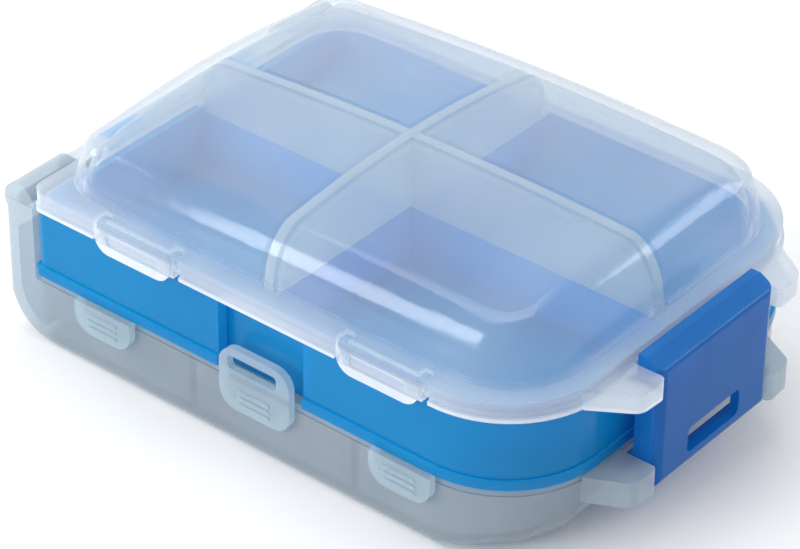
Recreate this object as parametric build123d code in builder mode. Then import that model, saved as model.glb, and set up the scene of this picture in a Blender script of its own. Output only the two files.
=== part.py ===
"""Two-layer pill organizer: base, inner cover, blue tray, domed lid and end latch, all hinged like a book.

Frame: millimetres, +Z up, +X towards the latch, -Y the front long side with the thumb tabs.
The origin is the centre of the case footprint, on the surface that it stands on.
"""
from math import cos, radians, sin, sqrt
import os

from build123d import *

# Case footprint
case_length = 106.8
case_width = 77.0
end_corner_radius = 17.5
spine_corner_radius = 1.6
spine_thickness = 6.5
end_round_radius = 9.0
long_edge_round = 1.4
corner_rounds = ((22.5, 8.0), (45.0, 6.5), (67.5, 3.4))

# Stack heights, from the underside up
base_height = 12.0
cover_gap = 0.1
cover_thickness = 1.3
tray_gap = 0.15
tray_wall_top = 26.2
lid_gap = 0.15
flange_height = 3.65
dome_rise = 12.0

# Walls and running gaps
base_wall = 1.5
base_floor = 1.5
partition_wall = 1.5
tray_wall = 1.5
tray_floor = 1.4
dome_wall = 1.4
spine_gap = 0.3
side_gap = 0.25
cover_inset = 0.2

# Base compartments
base_cross_walls = (-14.0, 19.5)
well_floor_round = 2.0

# Hinge on the spine
hinge_height = 25.5
rod_radius = 1.2
rod_bore_clearance = 0.06
knuckle_radius = 2.7
cheek_length = 12.0
knuckle_gap = 0.3
cover_knuckle_length = 19.0
tray_knuckle_length = 8.0
spine_wall_top = 22.0
arm_thickness = 1.5
arm_drop = 0.65
arm_wall_drop = 1.35

# Blue tray
tray_floor_height = 17.5
tray_partition_top = 27.3
scoop_start = 13.0
scoop_top = 24.7
scoop_sag = 0.26
scoop_overrun = 0.6
rim_step_height = 2.1
rim_band_height = 1.7
rim_band_proud = 0.45
recess_centre = 1.7
recess_width = 17.4
recess_depth = 2.0

# Thumb tabs of the inner cover
tab_centres = (-30.7, 1.6, 30.7)
tab_width = 12.0
middle_tab_width = 14.4
tab_drop = 5.6
tab_thickness = 1.35
tab_corner_radius = 3.4
grip_width = 6.4
grip_height = 0.55
grip_proud = 0.3
grip_pitch = 1.25
grip_count = 3
tongue_height = 6.0
tongue_window_width = 10.0
tongue_window_height = 2.6
tongue_window_rise = 1.9

# Domed lid
flange_wall = 1.3
flange_plate = 1.4
dome_inset = 3.0
dome_corner_radius = 9.8
dome_shoulder_radius = 9.0
crown_length_radius = 230.0
crown_width_radius = 121.0
crown_centre = 3.0
divider_wall = 1.6
bead_height = 0.8
bead_proud = 0.35
lobe_centres = (-23.6, 26.2)
lobe_width = 16.0
lobe_thickness = 1.2
lobe_rise = 0.9
lobe_drop = 1.0
lobe_corner_radius = 3.0
lobe_slit = 1.1
gusset_width = 1.7
divider_gap = 0.1
lap_clearance = 0.1
rib_wall = 0.9
rib_depth = 1.3
rod_end_recess = 0.3

# Ears and latch
ear_inner = 15.0
ear_root = 25.2
ear_reach = 7.8
lower_ear_bottom = 8.2
lower_ear_top = 12.9
ledge_reach = 2.0
ledge_thickness = 2.6
latch_side_gap = 0.3
latch_wall = 1.6
latch_back_gap = 0.4
latch_front = 7.0
latch_top = 31.7
latch_pivot_out = 3.0
latch_pivot_height = 10.7
latch_eye_radius = 2.6
trunnion_radius = 1.6
trunnion_length = 3.4
trunnion_clearance = 0.06
latch_window_width = 13.6
latch_window_height = 4.8
latch_window_bottom = 10.6
latch_slope_drop = 1.6
latch_edge_radius = 1.6

# Places that follow from the sizes above
half_length = case_length / 2
half_width = case_width / 2
leaf_left = spine_thickness + spine_gap - half_length
hinge_x = spine_thickness / 2 - half_length
end_wall_left = spine_thickness + 0.2 - half_length
cover_bottom = base_height + cover_gap
cover_top = cover_bottom + cover_thickness
tray_bottom = cover_top + tray_gap
flange_bottom = tray_wall_top + lid_gap
flange_top = flange_bottom + flange_height
dome_top = flange_top + dome_rise
foot_bottom = flange_top - flange_plate
bore_radius = rod_radius + rod_bore_clearance
cheek_inner = half_width - cheek_length
tray_knuckle_outer = cheek_inner - tray_knuckle_length - 2 * knuckle_gap
latch_half = ear_inner - latch_side_gap
pivot_x = half_length + latch_pivot_out


def plan_shape(left, right, half, end_radius, spine_radius):
    with BuildSketch(mode=Mode.PRIVATE) as shape:
        with BuildLine():
            Polyline((left, -half), (right, -half), (right, half), (left, half), close=True)
        make_face()
        fillet(shape.vertices().group_by(Axis.X)[-1], end_radius)
        fillet(shape.vertices().group_by(Axis.X)[0], spine_radius)
    return shape.sketch


def base_side_shape(inset):
    """Side outline of the base, rounded under both short ends, grown inwards by inset."""
    low = inset
    left = inset - half_length
    right = half_length - inset
    turn = end_round_radius - inset
    with BuildSketch(mode=Mode.PRIVATE) as shape:
        with BuildLine():
            Line((left + turn, low), (right - turn, low))
            RadiusArc((right - turn, low), (right, low + turn), -turn)
            Line((right, low + turn), (right, 60))
            Line((right, 60), (left, 60))
            Line((left, 60), (left, low + turn))
            RadiusArc((left, low + turn), (left + turn, low), -turn)
        make_face()
    return shape.sketch


def underside_block(inset):
    """Block with the rounded underside of the case, its latch end also rounded about the plan corners."""
    with BuildPart(mode=Mode.PRIVATE) as block:
        with BuildSketch(Plane.XZ):
            add(base_side_shape(inset))
        extrude(amount=case_width, both=True)
        for side in (-1, 1):
            for angle, full_turn in corner_rounds:
                out, across = cos(radians(angle)), side * sin(radians(angle))
                reach = (half_length - end_corner_radius) * out + end_corner_radius - inset
                reach += (half_width - end_corner_radius) * abs(across)
                turn = full_turn - inset
                with BuildSketch(Plane((0, 0, 0), x_dir=(out, across, 0), z_dir=(across, -out, 0))):
                    with BuildLine():
                        Line((-case_length, inset), (reach - turn, inset))
                        RadiusArc((reach - turn, inset), (reach, inset + turn), -turn)
                        Line((reach, inset + turn), (reach, 60))
                        Line((reach, 60), (-case_length, 60))
                        Line((-case_length, 60), (-case_length, inset))
                    make_face()
                extrude(amount=2 * case_length, both=True, mode=Mode.INTERSECT)
    return block.part


def ear_shape(reach, root):
    """One horn-shaped ear in plan, drawn on the +Y side of the latch end."""
    tip = half_length + reach
    with BuildSketch(mode=Mode.PRIVATE) as shape:
        with BuildLine():
            Polyline(
                (half_length - 4.5, ear_inner),
                (tip, ear_inner),
                (tip - 0.3, ear_inner + 5.6),
                (half_length + 0.6, root),
                (half_length - 4.5, root + 1.4),
                close=True,
            )
        make_face()
        fillet(shape.vertices().sort_by_distance((tip, ear_inner, 0))[0], 1.0)
        fillet(shape.vertices().sort_by_distance((tip - 0.3, ear_inner + 5.6, 0))[0], 2.6)
    return shape.sketch


# Base: compartments, spine with its two cheeks, and the lower ears
base_plan = plan_shape(-half_length, half_length, half_width, end_corner_radius, spine_corner_radius)
well_plan = plan_shape(
    end_wall_left + base_wall,
    half_length - base_wall,
    half_width - base_wall,
    end_corner_radius - base_wall,
    well_floor_round,
)
lower_ear = ear_shape(ear_reach - 0.4, ear_root - 1.2)

with BuildPart() as base_wells:
    with BuildSketch(Plane.XY.offset(base_floor)):
        add(well_plan)
    extrude(amount=base_height)
    add(underside_block(base_wall), mode=Mode.INTERSECT)
    with BuildSketch(Plane.XY):
        Rectangle(case_length, partition_wall)
        for wall_x in base_cross_walls:
            with Locations((wall_x, 0)):
                Rectangle(partition_wall, case_width)
    extrude(amount=base_height * 2, mode=Mode.SUBTRACT)

with BuildPart() as spine_slot:
    with BuildSketch(Plane.XY):
        with Locations(((base_wall - half_length + end_wall_left) / 2, 0)):
            Rectangle(end_wall_left + half_length - base_wall, case_width - 2 * base_wall)
    extrude(amount=hinge_height - knuckle_radius - 3.5)
    with BuildSketch(Plane.XY):
        with Locations(((base_wall - half_length + end_wall_left) / 2, 0)):
            Rectangle(end_wall_left + half_length - base_wall, 2 * cheek_inner)
    extrude(amount=hinge_height * 2)
    with BuildSketch(Plane.XZ):
        add(base_side_shape(base_wall))
    extrude(amount=half_width, both=True, mode=Mode.INTERSECT)

with BuildPart() as base:
    with BuildSketch():
        add(base_plan)
    extrude(amount=base_height)
    with BuildSketch():
        with Locations((hinge_x, 0)):
            Rectangle(spine_thickness, case_width)
        fillet(vertices().group_by(Axis.X)[0], spine_corner_radius)
    extrude(amount=hinge_height)
    with BuildSketch(Plane.XZ):
        add(base_side_shape(0))
    extrude(amount=half_width, both=True, mode=Mode.INTERSECT)
    fillet(edges().filter_by(Axis.X).group_by(Axis.Z)[0], long_edge_round)
    add(underside_block(0), mode=Mode.INTERSECT)
    for side in (-1, 1):
        with BuildSketch(Plane.XZ.offset(-side * cheek_inner)):
            with Locations((hinge_x, hinge_height)):
                Circle(spine_thickness / 2)
        extrude(amount=-side * (cheek_length - 0.4))
    with BuildSketch(Plane.XY.offset(lower_ear_bottom)):
        add(lower_ear)
        add(mirror(lower_ear, about=Plane.XZ, mode=Mode.PRIVATE))
    extrude(amount=lower_ear_top - lower_ear_bottom)
    with BuildSketch(Plane.XY.offset(base_height)):
        with Locations((half_length - end_corner_radius / 2, 0)):
            Rectangle(end_corner_radius, case_width)
    extrude(amount=lower_ear_top, mode=Mode.SUBTRACT)
    add(base_wells.part, mode=Mode.SUBTRACT)
    add(spine_slot.part, mode=Mode.SUBTRACT)
    with BuildSketch(Plane.XY.offset(spine_wall_top)):
        with Locations((hinge_x, 0)):
            Rectangle(spine_thickness * 2, 2 * cheek_inner)
    extrude(amount=hinge_height, mode=Mode.SUBTRACT)
    with BuildSketch(Plane.XZ.offset(-half_width)):
        with Locations((hinge_x, hinge_height)):
            Circle(bore_radius)
    extrude(amount=case_width - base_wall, mode=Mode.SUBTRACT)
    for side in (-1, 1):
        with BuildSketch(Plane.XZ.offset(-side * (ear_inner - 0.5))):
            with Locations((pivot_x, latch_pivot_height)):
                Circle(trunnion_radius + trunnion_clearance)
        extrude(amount=-side * (trunnion_length + 1.0), mode=Mode.SUBTRACT)

# Inner cover over the base compartments, with thumb tabs on the front
cover_plan = plan_shape(
    leaf_left, half_length - cover_inset, half_width - cover_inset, end_corner_radius - cover_inset, 1.4
)
arm_right = hinge_x + knuckle_radius
tab_face = half_width + side_gap + tab_thickness

with BuildPart() as cover:
    with BuildSketch(Plane.XY.offset(cover_bottom)):
        add(cover_plan)
    extrude(amount=cover_thickness)
    with BuildSketch(Plane.XZ.offset(-cover_knuckle_length / 2)):
        with Locations((hinge_x, hinge_height)):
            Circle(knuckle_radius)
        with Locations((arm_right - arm_thickness / 2, (cover_bottom + hinge_height) / 2)):
            Rectangle(arm_thickness, hinge_height - cover_bottom)
        with Locations(((arm_right + leaf_left) / 2, (cover_bottom + cover_top) / 2)):
            Rectangle(leaf_left - arm_right + 2 * arm_thickness, cover_thickness)
        with Locations((hinge_x, hinge_height)):
            Circle(bore_radius, mode=Mode.SUBTRACT)
    extrude(amount=cover_knuckle_length)
    for tab_number, tab_x in enumerate(tab_centres):
        is_middle = tab_number == 1
        width = middle_tab_width if is_middle else tab_width
        top = cover_top + tongue_height if is_middle else cover_top
        with BuildSketch(Plane.XZ.offset(half_width + side_gap)) as tab_face_shape:
            with Locations((tab_x, (cover_top - tab_drop + top) / 2)):
                Rectangle(width, top - cover_top + tab_drop)
            fillet(vertices().group_by(Axis.Y)[0], tab_corner_radius)
            if is_middle:
                fillet(vertices().group_by(Axis.Y)[-1], tab_corner_radius)
                with Locations((tab_x - 0.4, cover_top + tongue_window_rise + tongue_window_height / 2)):
                    RectangleRounded(tongue_window_width, tongue_window_height, 0.8, mode=Mode.SUBTRACT)
        extrude(amount=tab_thickness)
        with BuildSketch(Plane.XY.offset(cover_bottom)):
            with Locations((tab_x, -half_width)):
                Rectangle(width - 2.0, 2 * (side_gap + 0.4))
        extrude(amount=cover_thickness)
        with BuildSketch(Plane.XZ.offset(tab_face)):
            for grip_number in range(grip_count):
                grip_z = cover_top - tab_drop + 1.5 + grip_pitch * grip_number
                with Locations((tab_x, grip_z)):
                    SlotOverall(grip_width, grip_height + 0.2)
        extrude(amount=grip_proud)

# Blue tray: four scooped wells under the lid, open underneath
tray_plan = plan_shape(leaf_left, half_length, half_width, end_corner_radius, 2.0)
skirt_inner_plan = plan_shape(
    leaf_left + tray_wall, half_length - tray_wall, half_width - tray_wall, end_corner_radius - tray_wall, 1.0
)
rim_inset = flange_wall + side_gap - 0.4
rim_left = leaf_left + flange_wall + side_gap
rim_plan = plan_shape(
    rim_left,
    half_length - rim_inset,
    half_width - rim_inset,
    end_corner_radius - rim_inset,
    1.6,
)
well_inset = rim_inset + tray_wall
tray_well_plan = plan_shape(
    rim_left + tray_wall,
    half_length - well_inset,
    half_width - well_inset,
    end_corner_radius - well_inset,
    3.0,
)
band_plan = plan_shape(
    leaf_left,
    half_length + rim_band_proud,
    half_width + rim_band_proud,
    end_corner_radius + rim_band_proud,
    1.0,
)
scoop_end = half_width - well_inset + scoop_overrun


def scoop_shape(drop):
    """Half section of the tray floor, from the partition out to the long wall, lowered by drop."""
    with BuildSketch(mode=Mode.PRIVATE) as shape:
        with BuildLine():
            low = tray_floor_height - drop
            Line((0, low), (scoop_start, low))
            ThreePointArc(
                (scoop_start, low),
                ((scoop_start + scoop_end) / 2, low + (scoop_top - tray_floor_height) * scoop_sag),
                (scoop_end, scoop_top - drop),
            )
            Line((scoop_end, scoop_top - drop), (half_width + 6, scoop_top - drop))
            Line((half_width + 6, scoop_top - drop), (half_width + 6, 60))
            Line((half_width + 6, 60), (0, 60))
            Line((0, 60), (0, low))
        make_face()
    return shape.sketch


floor_section = scoop_shape(0)
under_section = scoop_shape(tray_floor)

with BuildPart() as tray_wells:
    with BuildSketch(Plane.YZ):
        add(floor_section)
        add(mirror(floor_section, about=Plane.YZ, mode=Mode.PRIVATE))
    extrude(amount=case_length, both=True)
    with BuildSketch(Plane.XY):
        add(tray_well_plan)
    extrude(amount=60, mode=Mode.INTERSECT)
    with BuildSketch(Plane.XY):
        Rectangle(case_length, partition_wall)
        Rectangle(partition_wall, case_width)
    extrude(amount=tray_partition_top, mode=Mode.SUBTRACT)

with BuildPart() as tray_under:
    with BuildSketch(Plane.XY.offset(tray_bottom - 1)):
        add(skirt_inner_plan)
    extrude(amount=tray_wall_top)
    with BuildSketch(Plane.YZ):
        add(under_section)
        add(mirror(under_section, about=Plane.YZ, mode=Mode.PRIVATE))
    extrude(amount=case_length, both=True, mode=Mode.SUBTRACT)

with BuildPart() as tray:
    with BuildSketch(Plane.XY.offset(tray_bottom)):
        add(tray_plan)
    extrude(amount=tray_wall_top - tray_bottom)
    with BuildSketch(Plane.XY.offset(tray_bottom)):
        add(band_plan)
    extrude(amount=rim_band_height)
    with BuildSketch(Plane.XY.offset(tray_wall_top)):
        add(rim_plan)
    extrude(amount=rim_step_height)
    add(tray_wells.part, mode=Mode.SUBTRACT)
    add(tray_under.part, mode=Mode.SUBTRACT)
    with BuildSketch(Plane.XZ.offset(half_width - recess_depth - tray_wall)):
        with Locations((recess_centre, (tray_bottom + tray_wall_top) / 2)):
            Rectangle(recess_width + 2 * tray_wall, tray_wall_top - tray_bottom)
    extrude(amount=recess_depth + tray_wall)
    with BuildSketch(Plane.XY.offset(tray_bottom - 1)):
        with Locations((recess_centre, -half_width - 1)):
            Rectangle(recess_width, 2 * (recess_depth + 1))
    extrude(amount=tray_wall_top - tray_bottom + 1, mode=Mode.SUBTRACT)
    for side in (-1, 1):
        with BuildSketch(Plane.XZ.offset(-side * tray_knuckle_outer)):
            with Locations((hinge_x, hinge_height)):
                Circle(knuckle_radius)
            with BuildLine():
                Polyline(
                    (hinge_x, hinge_height - arm_drop),
                    (leaf_left + tray_wall, tray_wall_top - arm_wall_drop),
                    (leaf_left + tray_wall, tray_wall_top - arm_wall_drop - arm_thickness),
                    (hinge_x, hinge_height - arm_drop - arm_thickness),
                    close=True,
                )
            make_face()
            with Locations((hinge_x, hinge_height)):
                Circle(bore_radius, mode=Mode.SUBTRACT)
        extrude(amount=side * tray_knuckle_length)

# Domed lid with its dividers, flange, lift lobes and upper ears
flange_grow = 0.4
flange_plan = plan_shape(
    leaf_left, half_length + flange_grow, half_width + flange_grow, end_corner_radius + flange_grow, 2.4
)
flange_inner_plan = plan_shape(
    leaf_left + flange_wall,
    half_length + flange_grow - flange_wall,
    half_width + flange_grow - flange_wall,
    end_corner_radius + flange_grow - flange_wall,
    1.6,
)
bead_plan = plan_shape(
    leaf_left,
    half_length + flange_grow + bead_proud,
    half_width + flange_grow + bead_proud,
    end_corner_radius + flange_grow + bead_proud,
    2.4,
)
dome_left = leaf_left + spine_gap
dome_right = half_length + flange_grow - dome_inset
dome_half = half_width + flange_grow - dome_inset
dome_plan = plan_shape(
    dome_left, dome_right, dome_half, end_corner_radius + flange_grow - dome_inset, dome_corner_radius
)
hollow_plan = plan_shape(
    dome_left + dome_wall,
    dome_right - dome_wall,
    dome_half - dome_wall,
    end_corner_radius + flange_grow - dome_inset - dome_wall,
    dome_corner_radius - dome_wall,
)
rib_plan = plan_shape(
    dome_left + dome_wall + rib_depth,
    dome_right - dome_wall - rib_depth,
    dome_half - dome_wall - rib_depth,
    end_corner_radius + flange_grow - dome_inset - dome_wall - rib_depth,
    dome_corner_radius - dome_wall - rib_depth,
)
divider_plan = plan_shape(
    dome_left + dome_wall + divider_gap,
    dome_right - dome_wall - divider_gap,
    dome_half - dome_wall - divider_gap,
    end_corner_radius + flange_grow - dome_inset - dome_wall - divider_gap,
    dome_corner_radius - dome_wall - divider_gap,
)


def crown_block(drop):
    """Barrel whose upper skin is the crowned top of the dome, sunk by drop."""
    barrel_axis = dome_top - crown_width_radius
    skin_radius = crown_length_radius - drop

    def skin(place):
        rise = sqrt(skin_radius**2 - (place - crown_centre) ** 2) - crown_length_radius
        return barrel_axis - crown_width_radius - rise

    left, right = -half_length, half_length + 2
    with BuildPart(mode=Mode.PRIVATE) as block:
        with BuildSketch(Plane.XZ):
            with BuildLine():
                ThreePointArc((left, skin(left)), (0, skin(0)), (right, skin(right)))
                Polyline((right, skin(right)), (right, barrel_axis), (left, barrel_axis), (left, skin(left)))
            make_face()
        revolve(axis=Axis((0, 0, barrel_axis), (1, 0, 0)))
    return block.part


with BuildPart() as dome_block:
    with BuildSketch(Plane.XY.offset(foot_bottom)):
        add(dome_plan)
    extrude(amount=30)
    add(crown_block(0), mode=Mode.INTERSECT)
    fillet(faces().sort_by(Axis.Z)[-1].edges(), dome_shoulder_radius)

with BuildPart() as dome_hollow:
    with BuildSketch(Plane.XY.offset(foot_bottom - 2)):
        add(hollow_plan)
    extrude(amount=30)
    add(crown_block(dome_wall), mode=Mode.INTERSECT)
    fillet(faces().sort_by(Axis.Z)[-1].edges(), dome_shoulder_radius - dome_wall)

with BuildPart() as rib_hollow:
    with BuildSketch(Plane.XY.offset(foot_bottom - 2)):
        add(rib_plan)
    extrude(amount=30)
    add(crown_block(dome_wall + rib_depth), mode=Mode.INTERSECT)
    fillet(faces().sort_by(Axis.Z)[-1].edges(), dome_shoulder_radius - dome_wall - rib_depth)

with BuildPart() as guide_ribs:
    for side in (-1, 1):
        rib_offset = side * (divider_wall / 2 + divider_gap + rib_wall / 2)
        with BuildSketch(Plane.XY.offset(foot_bottom)):
            with Locations(((dome_left + dome_right) / 2, rib_offset)):
                Rectangle(dome_right - dome_left - dome_wall, rib_wall)
            with Locations((rib_offset, 0)):
                Rectangle(rib_wall, 2 * dome_half - dome_wall)
        extrude(amount=30)
    add(dome_block.part, mode=Mode.INTERSECT)
    add(rib_hollow.part, mode=Mode.SUBTRACT)
    with BuildSketch(Plane.XY.offset(foot_bottom)):
        Rectangle(case_length, divider_wall + 2 * divider_gap)
        Rectangle(divider_wall + 2 * divider_gap, case_width)
    extrude(amount=30, mode=Mode.SUBTRACT)

upper_ear = ear_shape(ear_reach + 0.2, ear_root)
lobe_bottom = flange_bottom - lobe_drop
lobe_top = flange_top + lobe_rise

with BuildPart() as lid:
    with BuildSketch(Plane.XY.offset(flange_bottom)):
        add(flange_plan)
        add(upper_ear)
        add(mirror(upper_ear, about=Plane.XZ, mode=Mode.PRIVATE))
    extrude(amount=flange_height)
    with BuildSketch(Plane.XY.offset(flange_bottom)):
        add(bead_plan)
    extrude(amount=bead_height)
    with BuildSketch(Plane.XY.offset(flange_top - ledge_thickness)):
        with Locations((half_length + (ledge_reach - 1.0) / 2, 0)):
            Rectangle(ledge_reach + 1.0, 2 * ear_inner)
    extrude(amount=ledge_thickness)
    with BuildSketch(Plane.XY.offset(flange_bottom - 1)):
        add(flange_inner_plan)
    extrude(amount=foot_bottom - flange_bottom + 1, mode=Mode.SUBTRACT)
    add(dome_block.part)
    add(dome_hollow.part, mode=Mode.SUBTRACT)
    add(guide_ribs.part)
    for lobe_x in lobe_centres:
        for end in (-1, 1):
            with BuildSketch(Plane.XY.offset(flange_bottom - 1)):
                with Locations((lobe_x + end * (lobe_width + lobe_slit) / 2, -half_width)):
                    Rectangle(lobe_slit, 3.0)
            extrude(amount=foot_bottom - flange_bottom, mode=Mode.SUBTRACT)
        with BuildSketch(Plane.XZ.offset(half_width + flange_grow - 0.3)):
            with Locations((lobe_x, (lobe_bottom + lobe_top) / 2)):
                Rectangle(lobe_width, lobe_top - lobe_bottom)
            fillet(vertices().group_by(Axis.Y)[0], lobe_corner_radius)
            fillet(vertices().group_by(Axis.Y)[-1], 1.0)
        extrude(amount=lobe_thickness + 0.3)
        with BuildSketch(Plane.XZ.offset(half_width + flange_grow + lobe_thickness - 0.35)):
            with Locations((lobe_x, (flange_bottom + flange_top) / 2)):
                RectangleRounded(lobe_width - 5.0, 1.9, 0.8)
        extrude(amount=1, mode=Mode.SUBTRACT)
        for end in (-1, 1):
            with BuildSketch(Plane.XY.offset(foot_bottom)):
                with Locations((lobe_x + end * (lobe_width / 2 - 0.4), -half_width + 0.3)):
                    Rectangle(gusset_width, 2.6)
            extrude(amount=flange_plate + lobe_rise)
    for side in (-1, 1):
        with BuildSketch(Plane.XZ.offset(-side * (cheek_inner - knuckle_gap))):
            with BuildLine():
                Polyline(
                    (hinge_x, hinge_height + knuckle_radius),
                    (leaf_left + 1.0, flange_top - 1.0),
                    (leaf_left + 1.0, flange_bottom + 0.2),
                    (hinge_x + knuckle_radius * cos(radians(15)), hinge_height + knuckle_radius * sin(radians(15))),
                    (hinge_x, hinge_height),
                    close=True,
                )
            make_face()
            with Locations((hinge_x, hinge_height)):
                Circle(knuckle_radius)
                Circle(bore_radius, mode=Mode.SUBTRACT)
        extrude(amount=side * tray_knuckle_length)

# Two clear dividers that slide into the guide ribs and halve together where they cross
divider_bottom = tray_partition_top + lid_gap
lap_height = (divider_bottom + dome_top - dome_wall) / 2

with BuildPart() as divider_space:
    with BuildSketch(Plane.XY.offset(foot_bottom - 2)):
        add(divider_plan)
    extrude(amount=30)
    add(crown_block(dome_wall + divider_gap), mode=Mode.INTERSECT)
    fillet(faces().sort_by(Axis.Z)[-1].edges(), dome_shoulder_radius - dome_wall - divider_gap)

with BuildPart() as long_divider:
    with BuildSketch(Plane.XY.offset(divider_bottom)):
        Rectangle(case_length, divider_wall)
    extrude(amount=30)
    add(divider_space.part, mode=Mode.INTERSECT)
    with BuildSketch(Plane.XY.offset(lap_height)):
        Rectangle(divider_wall + 2 * lap_clearance, 2 * divider_wall)
    extrude(amount=30, mode=Mode.SUBTRACT)
    with BuildSketch(Plane.XY.offset(divider_bottom - 1)):
        with Locations((rim_left, 0)):
            Rectangle(2 * (tray_wall + side_gap), 2 * divider_wall)
    extrude(amount=foot_bottom - divider_bottom + 1, mode=Mode.SUBTRACT)

with BuildPart() as cross_divider:
    with BuildSketch(Plane.XY.offset(divider_bottom)):
        Rectangle(divider_wall, case_width)
    extrude(amount=30)
    add(divider_space.part, mode=Mode.INTERSECT)
    with BuildSketch(Plane.XY.offset(divider_bottom - 1)):
        Rectangle(2 * divider_wall, divider_wall + 2 * lap_clearance)
    extrude(amount=lap_height - divider_bottom + 1 + lap_clearance, mode=Mode.SUBTRACT)

# Hinge rod through the cheeks and all the knuckles
with BuildPart() as hinge_rod:
    with BuildSketch(Plane.XZ.offset(-half_width + rod_end_recess)):
        with Locations((hinge_x, hinge_height)):
            Circle(rod_radius)
    extrude(amount=case_width - base_wall - rod_end_recess - 0.2)
    chamfer(edges().filter_by(GeomType.CIRCLE), 0.3)

# Blue latch: a shell open at the back, which pivots on the lower ears
latch_back = half_length + ledge_reach + latch_back_gap
latch_face = half_length + latch_front
latch_toe = latch_pivot_height - 2.3

with BuildPart() as latch:
    with BuildSketch(Plane.XZ.offset(-latch_half)):
        with BuildLine():
            Polyline(
                (latch_back, latch_pivot_height),
                (latch_back, latch_top),
                (latch_back + 1.7, latch_top),
                (latch_face, latch_top - latch_slope_drop),
                (latch_face, latch_toe),
                (pivot_x + 0.6, latch_pivot_height - latch_eye_radius),
                (pivot_x, latch_pivot_height),
                close=True,
            )
        make_face()
        fillet(vertices().sort_by_distance((latch_face, latch_top - latch_slope_drop, 0))[0], 1.0)
        fillet(vertices().sort_by_distance((latch_back + 1.7, latch_top, 0))[0], 0.7)
        fillet(vertices().sort_by_distance((latch_face, latch_toe, 0))[0], 1.3)
        with Locations((pivot_x, latch_pivot_height)):
            Circle(latch_eye_radius)
    extrude(amount=2 * latch_half)
    with BuildSketch(Plane.XY):
        with Locations((half_length, 0)):
            Rectangle(2 * latch_front, 2 * latch_half)
        fillet(vertices().group_by(Axis.X)[-1], latch_edge_radius)
    extrude(amount=60, mode=Mode.INTERSECT)
    with BuildSketch(Plane.XZ.offset(-latch_half + latch_wall)):
        with BuildLine():
            Polyline(
                (latch_back - 4, latch_top - latch_wall),
                (latch_back + 1.2, latch_top - latch_wall),
                (latch_face - latch_wall, latch_top - latch_slope_drop - latch_wall),
                (latch_face - latch_wall, latch_pivot_height - 0.2),
                (pivot_x + 0.8, latch_pivot_height - 1.0),
                (pivot_x - 0.4, latch_pivot_height - 5),
                (latch_back - 4, latch_pivot_height - 5),
                close=True,
            )
        make_face()
    extrude(amount=2 * (latch_half - latch_wall), mode=Mode.SUBTRACT)
    with BuildSketch(Plane.XZ.offset(-latch_half - trunnion_length)):
        with Locations((pivot_x, latch_pivot_height)):
            Circle(trunnion_radius)
    extrude(amount=trunnion_length)
    with BuildSketch(Plane.XZ.offset(latch_half)):
        with Locations((pivot_x, latch_pivot_height)):
            Circle(trunnion_radius)
    extrude(amount=trunnion_length)
    with BuildSketch(Plane.YZ.offset(half_length)):
        with Locations((0, latch_window_bottom + latch_window_height / 2)):
            RectangleRounded(latch_window_width, latch_window_height, 1.1)
    extrude(amount=latch_front + 1, mode=Mode.SUBTRACT)

os.makedirs("parts", exist_ok=True)
for piece, node_name in (
    (base, "base"),
    (cover, "inner_cover"),
    (tray, "blue_tray"),
    (lid, "domed_lid"),
    (long_divider, "long_divider"),
    (cross_divider, "cross_divider"),
    (hinge_rod, "hinge_rod"),
    (latch, "latch"),
):
    piece.part.label = node_name
    export_step(piece.part, f"parts/{node_name}.step")
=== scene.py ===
import math

import bmesh
import bpy
from mathutils import Matrix, Vector


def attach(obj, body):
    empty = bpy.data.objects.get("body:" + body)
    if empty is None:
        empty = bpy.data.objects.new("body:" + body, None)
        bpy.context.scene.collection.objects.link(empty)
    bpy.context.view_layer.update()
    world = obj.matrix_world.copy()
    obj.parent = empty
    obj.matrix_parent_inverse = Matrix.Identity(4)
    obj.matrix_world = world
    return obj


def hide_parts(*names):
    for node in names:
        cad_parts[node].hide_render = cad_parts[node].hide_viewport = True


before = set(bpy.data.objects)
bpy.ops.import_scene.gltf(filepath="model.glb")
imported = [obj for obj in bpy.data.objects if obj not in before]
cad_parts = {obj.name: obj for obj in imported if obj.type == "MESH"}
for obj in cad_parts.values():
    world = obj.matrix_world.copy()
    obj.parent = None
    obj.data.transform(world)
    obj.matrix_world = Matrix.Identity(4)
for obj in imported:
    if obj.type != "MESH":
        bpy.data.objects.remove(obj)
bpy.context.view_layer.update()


def hexColour(text):
    channels = [int(text[i:i + 2], 16) / 255 for i in (1, 3, 5)]
    linear = [c / 12.92 if c <= 0.04045 else ((c + 0.055) / 1.055) ** 2.4 for c in channels]
    return (*linear, 1.0)


def addNode(tree, kind, inputs=None, **settings):
    node = tree.nodes.new(kind)
    for name, value in settings.items():
        setattr(node, name, value)
    for name, value in (inputs or {}).items():
        if isinstance(value, bpy.types.NodeSocket):
            tree.links.new(value, node.inputs[name])
        else:
            node.inputs[name].default_value = value
    return node


def newMaterial(name):
    material = bpy.data.materials.new(name)
    material.use_nodes = True
    material.node_tree.nodes.clear()
    return material


def perMetre(sizeMm):
    return 1000.0 / sizeMm


def reliefDepth(sizeMm):
    return sizeMm / 4000  # a quarter of the grain's size, in metres


# Crown of the dome, in metres: the moulded lid is flatter along its length and across it than the
# solid's first crown, so the lid and the dividers under it are stretched up to the flatter one.
domeCrown = {
    "foot": 0.030, "skin": 0.0016,  # the stretch grows from the flange to the inside of the dome's skin
    "left": -0.0464, "right": 0.0509, "halfWidth": 0.036,  # the dome's plan
    "shoulderLeft": -0.0388, "shoulderRight": 0.0434, "shoulderSide": 0.0290,  # where the crown ends
    "solid": {"top": 0.042, "length": 0.230, "width": 0.121, "centre": (0.003, 0.0)},
    "moulded": {"top": 0.0423, "length": 0.610, "width": 0.195, "centre": (0.015, -0.0025)},
    "mergeDistance": 2e-6, "sharpDegrees": 34,
}


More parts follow.
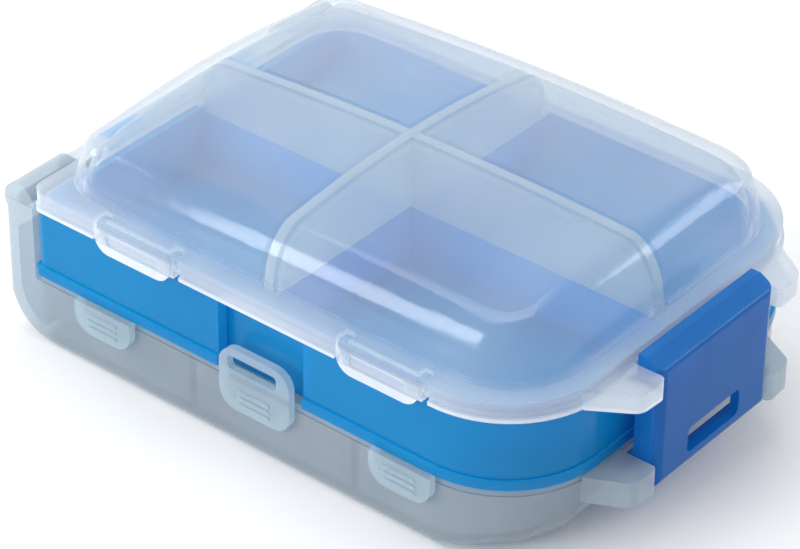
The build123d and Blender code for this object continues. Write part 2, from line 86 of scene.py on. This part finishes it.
# Top of a crown over a point: an arc across the case, swept along a flatter arc.
def crownHeight(crown, x, y):
    along, across = x - crown["centre"][0], y - crown["centre"][1]
    girth = crown["width"] - crown["length"] + math.sqrt(crown["length"] ** 2 - along ** 2)
    return crown["top"] - crown["width"] + math.sqrt(girth ** 2 - across ** 2)


def stretchToCrown(nodeName, pieceName):
    mesh = bpy.data.objects[nodeName].data.copy()
    mesh.name = pieceName + "Mesh"
    shape = bmesh.new()
    shape.from_mesh(mesh)
    bmesh.ops.remove_doubles(shape, verts=shape.verts, dist=domeCrown["mergeDistance"])
    for vertex in shape.verts:
        x, y, z = vertex.co
        inside = domeCrown["left"] < x < domeCrown["right"] and abs(y) < domeCrown["halfWidth"]
        if not inside or z <= domeCrown["foot"]:
            continue
        x = max(domeCrown["shoulderLeft"], min(domeCrown["shoulderRight"], x))
        y = max(-domeCrown["shoulderSide"], min(domeCrown["shoulderSide"], y))
        solidTop = crownHeight(domeCrown["solid"], x, y)
        lift = crownHeight(domeCrown["moulded"], x, y) - solidTop
        share = (z - domeCrown["foot"]) / (solidTop - domeCrown["skin"] - domeCrown["foot"])
        vertex.co.z += lift * min(1.0, share)
    shape.to_mesh(mesh)
    shape.free()
    if "custom_normal" in mesh.attributes:  # the solid's normals no longer fit the stretched skin
        mesh.attributes.remove(mesh.attributes["custom_normal"])
    mesh.shade_smooth()
    mesh.set_sharp_from_angle(angle=math.radians(domeCrown["sharpDegrees"]))
    piece = bpy.data.objects.new(pieceName, mesh)
    bpy.context.scene.collection.objects.link(piece)
    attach(piece, "lid")
    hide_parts(nodeName)
    return piece


crownedPieces = {
    "domed_lid": stretchToCrown("domed_lid", "crownedLid"),
    "long_divider": stretchToCrown("long_divider", "crownedLongDivider"),
    "cross_divider": stretchToCrown("cross_divider", "crownedCrossDivider"),
}
print("stage: dome and dividers stretched to the moulded crown")


# What is alike in all the moulded plastics
plasticMould = {
    "flowDetail": 2.0, "flowRoughness": 0.45, "flowRange": (0.3, 0.7),
    "grainDetail": 3.0, "grainRoughness": 0.6,
    "floorTilt": (0.45, 0.9),  # upward share of the normal, from a wall to a floor, over which the painted light comes in
    "skinReach": (0.032, 0.024),  # metres that a face looks out from the middle, from skin to inside, over which the painted light comes in
}


# Injection-moulded plastic walls: part of the light goes straight through the wall, part is
# scattered by the milky resin, and a thin gloss from the polished mould lies over both.
def mouldedPlastic(name, look):
    material = newMaterial(name)
    tree = material.node_tree
    place = addNode(tree, "ShaderNodeTexCoord").outputs["Object"]
    flow = addNode(tree, "ShaderNodeTexNoise", {
        "Vector": place, "Scale": perMetre(look["flowMm"]),
        "Detail": plasticMould["flowDetail"], "Roughness": plasticMould["flowRoughness"],
    }).outputs["Fac"]
    grain = addNode(tree, "ShaderNodeTexNoise", {
        "Vector": place, "Scale": perMetre(look["grainMm"]),
        "Detail": plasticMould["grainDetail"], "Roughness": plasticMould["grainRoughness"],
    }).outputs["Fac"]
    bump = addNode(tree, "ShaderNodeBump", {
        "Height": grain, "Strength": look["grainStrength"], "Distance": reliefDepth(look["grainMm"]),
    }).outputs["Normal"]
    facing = addNode(tree, "ShaderNodeLayerWeight", {"Blend": 0.5}).outputs["Facing"]
    longPath = addNode(tree, "ShaderNodeMath", {
        0: facing, 1: look["edgePower"],
    }, operation="POWER").outputs[0]
    wallHaze = addNode(tree, "ShaderNodeMapRange", {
        "Value": longPath, "To Min": look["haze"], "To Max": look["edgeHaze"],
    }).outputs["Result"]
    clear, milky = plasticMould["flowRange"]
    cloud = addNode(tree, "ShaderNodeMapRange", {
        "Value": flow, "From Min": clear, "From Max": milky,
        "To Min": 1 - look["cloud"], "To Max": 1 + look["cloud"],
    }).outputs["Result"]
    for thickening in look.get("thickenings", ()):  # lower down, where the moulding is thicker
        height = addNode(tree, "ShaderNodeSeparateXYZ", {"Vector": place}).outputs["Z"]
        share = addNode(tree, "ShaderNodeMapRange", {
            "Value": height,
            "From Min": thickening["top"], "From Max": thickening["top"] - thickening["blend"],
            "To Min": 1.0, "To Max": thickening["times"],
        }).outputs["Result"]
        wallHaze = addNode(tree, "ShaderNodeMath", {0: wallHaze, 1: share}, operation="MULTIPLY").outputs[0]
    haze = addNode(tree, "ShaderNodeMath", {
        0: wallHaze, 1: cloud,
    }, operation="MULTIPLY", use_clamp=True).outputs[0]
    milkWithPaintedLight = hexColour(look["milk"])
    # Painted light: where a look gives a second, lighter milk colour, floors and inward faces take it in
    # place of light
    if "paintedLightMilk" in look:
        milkWithPaintedLight = paintedWellLight(tree, place, milkWithPaintedLight, hexColour(look["paintedLightMilk"]))
    through = addNode(tree, "ShaderNodeBsdfTransparent", {"Color": hexColour(look["through"])}).outputs[0]
    scatter = addNode(tree, "ShaderNodeBsdfDiffuse", {"Color": milkWithPaintedLight, "Normal": bump}).outputs[0]
    glow = addNode(tree, "ShaderNodeBsdfTranslucent", {"Color": milkWithPaintedLight, "Normal": bump}).outputs[0]
    milk = addNode(tree, "ShaderNodeMixShader", {0: look["glow"], 1: scatter, 2: glow}).outputs[0]
    wall = addNode(tree, "ShaderNodeMixShader", {0: haze, 1: through, 2: milk}).outputs[0]
    gloss = addNode(tree, "ShaderNodeBsdfGlossy", {
        "Roughness": look["roughness"], "Normal": bump,
    }).outputs[0]
    straight = ((look["ior"] - 1) / (look["ior"] + 1)) ** 2  # share mirrored when looked at squarely
    grazing = addNode(tree, "ShaderNodeMath", {0: facing, 1: 5.0}, operation="POWER").outputs[0]
    fresnel = addNode(tree, "ShaderNodeMapRange", {
        "Value": grazing, "To Min": straight, "To Max": 1.0,
    }).outputs["Result"]
    skin = addNode(tree, "ShaderNodeMixShader", {0: fresnel, 1: wall, 2: gloss}).outputs[0]
    addNode(tree, "ShaderNodeOutputMaterial", {"Surface": skin})
    return material


# Painted light: floors and faces that look in towards the middle of the piece get a lighter colour,
# standing in for the light that the real moulding's outer walls pass inwards.
def paintedWellLight(tree, place, skinColour, paintedLightColour):
    turned = addNode(tree, "ShaderNodeTexCoord").outputs["Normal"]
    upward = addNode(tree, "ShaderNodeSeparateXYZ", {"Vector": turned}).outputs["Z"]
    wallTilt, floorTilt = plasticMould["floorTilt"]
    floorShare = addNode(tree, "ShaderNodeMapRange", {
        "Value": upward, "From Min": wallTilt, "From Max": floorTilt,
    }).outputs["Result"]
    outward = addNode(tree, "ShaderNodeVectorMath", {
        0: turned, 1: place,
    }, operation="DOT_PRODUCT").outputs["Value"]
    skinReach, insideReach = plasticMould["skinReach"]
    insideShare = addNode(tree, "ShaderNodeMapRange", {
        "Value": outward, "From Min": skinReach, "From Max": insideReach,
    }).outputs["Result"]
    share = addNode(tree, "ShaderNodeMath", {0: floorShare, 1: insideShare}, operation="MAXIMUM").outputs[0]
    return addNode(tree, "ShaderNodeMix", {  # by number: factor, first colour, second colour
        0: share, 6: skinColour, 7: paintedLightColour,
    }, data_type="RGBA").outputs[2]


# Clear lid: random-copolymer polypropylene, moulded in a polished tool, so it is see-through
# with a light milky haze that thickens where the wall turns away and in the double-walled rim.
clearLidLook = {
    "through": "#F6FAFC", "milk": "#F0F4F8", "haze": 0.14, "edgeHaze": 0.68, "edgePower": 2.6,
    "cloud": 0.16, "glow": 0.40, "roughness": 0.11, "ior": 1.49,
    "flowMm": 22.0, "grainMm": 0.8, "grainStrength": 0.04,
    "thickenings": (
        {"top": 0.0305, "blend": 0.0012, "times": 2.3},  # double-walled rim
        {"top": 0.0271, "blend": 0.0002, "times": 2.1},  # bead under it
    ),
}
# Dividers: the same resin in a textured tool, so they look milkier than the lid.
dividerLook = {
    "through": "#EEF6F9", "milk": "#F0F5F7", "haze": 0.38, "edgeHaze": 0.80, "edgePower": 3.0,
    "cloud": 0.14, "glow": 0.50, "roughness": 0.22, "ior": 1.49,
    "flowMm": 18.0, "grainMm": 0.6, "grainStrength": 0.06,
}
# Base: frosted polypropylene, which lets colours through but no outlines.
frostedBaseLook = {
    "through": "#DDE9F0", "milk": "#D4DDE3", "haze": 0.46, "edgeHaze": 0.85, "edgePower": 2.5,
    "cloud": 0.14, "glow": 0.45, "roughness": 0.20, "ior": 1.49,
    "flowMm": 26.0, "grainMm": 0.5, "grainStrength": 0.08,
}
# Inner cover: a thinner moulding of the frosted resin, a little clearer than the base.
innerCoverLook = {
    "through": "#E4F2F7", "milk": "#DCE8EE", "haze": 0.40, "edgeHaze": 0.82, "edgePower": 2.5,
    "cloud": 0.12, "glow": 0.45, "roughness": 0.16, "ior": 1.49,
    "flowMm": 20.0, "grainMm": 0.5, "grainStrength": 0.06,
}
# Tray: polypropylene with a cyan-blue masterbatch, deep in colour and only just see-through. Its
# IOR is below the resin's, because the satin skin mirrors less than a polished one.
blueTrayLook = {
    # The second, lighter milk colour is painted light: floors and inward faces take it in place of the
    # light the walls pass inwards.
    "through": "#5CC8F4", "milk": "#0E99D2", "paintedLightMilk": "#2CC2F6",
    "haze": 0.80, "edgeHaze": 0.92, "edgePower": 2.5,
    "cloud": 0.08, "glow": 0.34, "roughness": 0.22, "ior": 1.36,
    "flowMm": 24.0, "grainMm": 0.6, "grainStrength": 0.05,
}
# Latch: the same satin blue resin in a thicker wall, so it looks darker.
blueLatchLook = {
    # The second, lighter milk colour is painted light: floors and inward faces take it in place of the
    # light the walls pass inwards.
    "through": "#46A8E8", "milk": "#147CCA", "paintedLightMilk": "#1C8CD8",
    "haze": 0.80, "edgeHaze": 0.92, "edgePower": 2.5,
    "cloud": 0.10, "glow": 0.40, "roughness": 0.22, "ior": 1.36,
    "flowMm": 11.0, "grainMm": 0.6, "grainStrength": 0.06,
}

# Rod: cold-drawn steel wire, with fine marks along it.
rodLook = {
    "colour": "#B9BBBE", "roughness": 0.32,
    "markMm": 0.12, "markStrength": 0.15, "markStretch": 0.02,  # marks run along the rod, on Y
}


def drawnSteel(name, look):
    material = newMaterial(name)
    tree = material.node_tree
    place = addNode(tree, "ShaderNodeTexCoord").outputs["Object"]
    along = addNode(tree, "ShaderNodeMapping", {
        "Vector": place, "Scale": (1.0, look["markStretch"], 1.0),
    }).outputs[0]
    marks = addNode(tree, "ShaderNodeTexNoise", {
        "Vector": along, "Scale": perMetre(look["markMm"]),
    }).outputs["Fac"]
    bump = addNode(tree, "ShaderNodeBump", {
        "Height": marks, "Strength": look["markStrength"], "Distance": reliefDepth(look["markMm"]),
    }).outputs["Normal"]
    steel = addNode(tree, "ShaderNodeBsdfPrincipled", {
        "Base Color": hexColour(look["colour"]), "Metallic": 1.0,
        "Roughness": look["roughness"], "Normal": bump,
    }).outputs[0]
    addNode(tree, "ShaderNodeOutputMaterial", {"Surface": steel})
    return material


nodeMaterials = {
    "base": mouldedPlastic("frostedPolypropyleneBase", frostedBaseLook),
    "inner_cover": mouldedPlastic("frostedPolypropyleneCover", innerCoverLook),
    "blue_tray": mouldedPlastic("bluePolypropyleneTray", blueTrayLook),
    "domed_lid": mouldedPlastic("clearPolypropyleneLid", clearLidLook),
    "long_divider": mouldedPlastic("milkyPolypropyleneDivider", dividerLook),
    "hinge_rod": drawnSteel("drawnSteelRod", rodLook),
    "latch": mouldedPlastic("bluePolypropyleneLatch", blueLatchLook),
}
nodeMaterials["cross_divider"] = nodeMaterials["long_divider"]

for nodeName, material in nodeMaterials.items():
    for piece in (bpy.data.objects[nodeName], crownedPieces.get(nodeName)):
        for slot in piece.material_slots if piece else ():
            slot.material = material
print("stage: materials assigned")

# Floor: a matt painted table top, pale, that takes the soft shadow.
tableTop = {
    "half": 2.0, "colour": (0.93, 0.93, 0.935, 1.0),
    "top": -0.0001,  # just under the case, so that no two faces lie in one plane
}
floorMesh = bpy.data.meshes.new("floorMesh")
half, top = tableTop["half"], tableTop["top"]
floorCorners = [(-half, -half, top), (half, -half, top), (half, half, top), (-half, half, top)]
floorMesh.from_pydata(floorCorners, [], [(0, 1, 2, 3)])
floor = bpy.data.objects.new("floor", floorMesh)
bpy.context.scene.collection.objects.link(floor)
floorPaint = newMaterial("mattFloorPaint")
floorShader = addNode(floorPaint.node_tree, "ShaderNodeBsdfDiffuse", {
    "Color": tableTop["colour"],
}).outputs[0]
addNode(floorPaint.node_tree, "ShaderNodeOutputMaterial", {"Surface": floorShader})
floorMesh.materials.append(floorPaint)
print("stage: floor laid")

# Sky: white where it is seen, mirrored or looked at through plastic, and dimmer as a light
skyLight = {"colour": "#FFFFFF", "strength": 0.64, "seenStrength": 1.0}
world = bpy.data.worlds.new("studio")
bpy.context.scene.world = world
world.use_nodes = True
sky = world.node_tree
sky.nodes.clear()
rays = addNode(sky, "ShaderNodeLightPath").outputs
cameraOrThrough = addNode(sky, "ShaderNodeMath", {
    0: rays["Is Camera Ray"], 1: rays["Is Transmission Ray"],
}, operation="MAXIMUM").outputs[0]
seenWhite = addNode(sky, "ShaderNodeMath", {
    0: cameraOrThrough, 1: rays["Is Glossy Ray"],
}, operation="MAXIMUM").outputs[0]
lamp, seen = (addNode(sky, "ShaderNodeBackground", {
    "Color": hexColour(skyLight["colour"]), "Strength": skyLight[use],
}).outputs[0] for use in ("strength", "seenStrength"))
both = addNode(sky, "ShaderNodeMixShader", {0: seenWhite, 1: lamp, 2: seen}).outputs[0]
addNode(sky, "ShaderNodeOutputWorld", {"Surface": both})

softboxTarget = Vector((0.0, 0.0, 0.02))
softboxes = {
    "overheadSoftbox": {"place": (-0.15, 0.10, 0.75), "size": (0.55, 0.40), "watts": 1.7},
    "rearSoftbox": {"place": (0.35, 0.65, 0.40), "size": (0.50, 0.25), "watts": 1.6},
    "leftSoftbox": {"place": (-0.70, -0.25, 0.35), "size": (0.35, 0.35), "watts": 2.8},
    "frontSoftbox": {"place": (-0.30, -0.80, 0.30), "size": (0.60, 0.30), "watts": 3.4},
}
for lampName, box in softboxes.items():
    light = bpy.data.lights.new(lampName, "AREA")
    light.shape = "RECTANGLE"
    light.size, light.size_y = box["size"]
    light.energy = box["watts"]
    lampObject = bpy.data.objects.new(lampName, light)
    lampObject.location = box["place"]
    aim = softboxTarget - Vector(box["place"])
    lampObject.rotation_euler = aim.to_track_quat("-Z", "Y").to_euler()
    bpy.context.scene.collection.objects.link(lampObject)

# Camera: fitted to the outline of the case in the photograph
view = {
    "azimuth": 38.9963, "elevation": 34.6755, "roll": 0.6595, "distance": 0.581945,
    "target": (0.0002096, -0.0026824, 0.015),
    "pixelFocal": 3600.0, "centre": (399.94, 273.99), "frameWidth": 800.0, "frameHeight": 549.0,
    "sensorMm": 36.0,
}
azimuth, elevation, roll = (math.radians(view[key]) for key in ("azimuth", "elevation", "roll"))
back = Vector((
    math.sin(azimuth) * math.cos(elevation),
    -math.cos(azimuth) * math.cos(elevation),
    math.sin(elevation),
))
level = Vector((math.cos(azimuth), math.sin(azimuth), 0.0))
upright = back.cross(level)
right = level * math.cos(roll) + upright * math.sin(roll)
up = upright * math.cos(roll) - level * math.sin(roll)
cameraData = bpy.data.cameras.new("camera")
cameraData.sensor_width = view["sensorMm"]
cameraData.lens = view["sensorMm"] * view["pixelFocal"] / view["frameWidth"]
cameraData.shift_x = (view["frameWidth"] / 2 - view["centre"][0]) / view["frameWidth"]
cameraData.shift_y = (view["centre"][1] - view["frameHeight"] / 2) / view["frameWidth"]
camera = bpy.data.objects.new("camera", cameraData)
spin = Matrix((right, up, back)).transposed().to_4x4()
camera.matrix_world = Matrix.Translation(Vector(view["target"]) + back * view["distance"]) @ spin
bpy.context.scene.collection.objects.link(camera)
bpy.context.scene.camera = camera
bpy.context.scene.view_settings.view_transform = "Standard"
bpy.context.scene.cycles.transparent_max_bounces = 24  # a look through the case crosses many thin walls
print("stage: camera and light set")
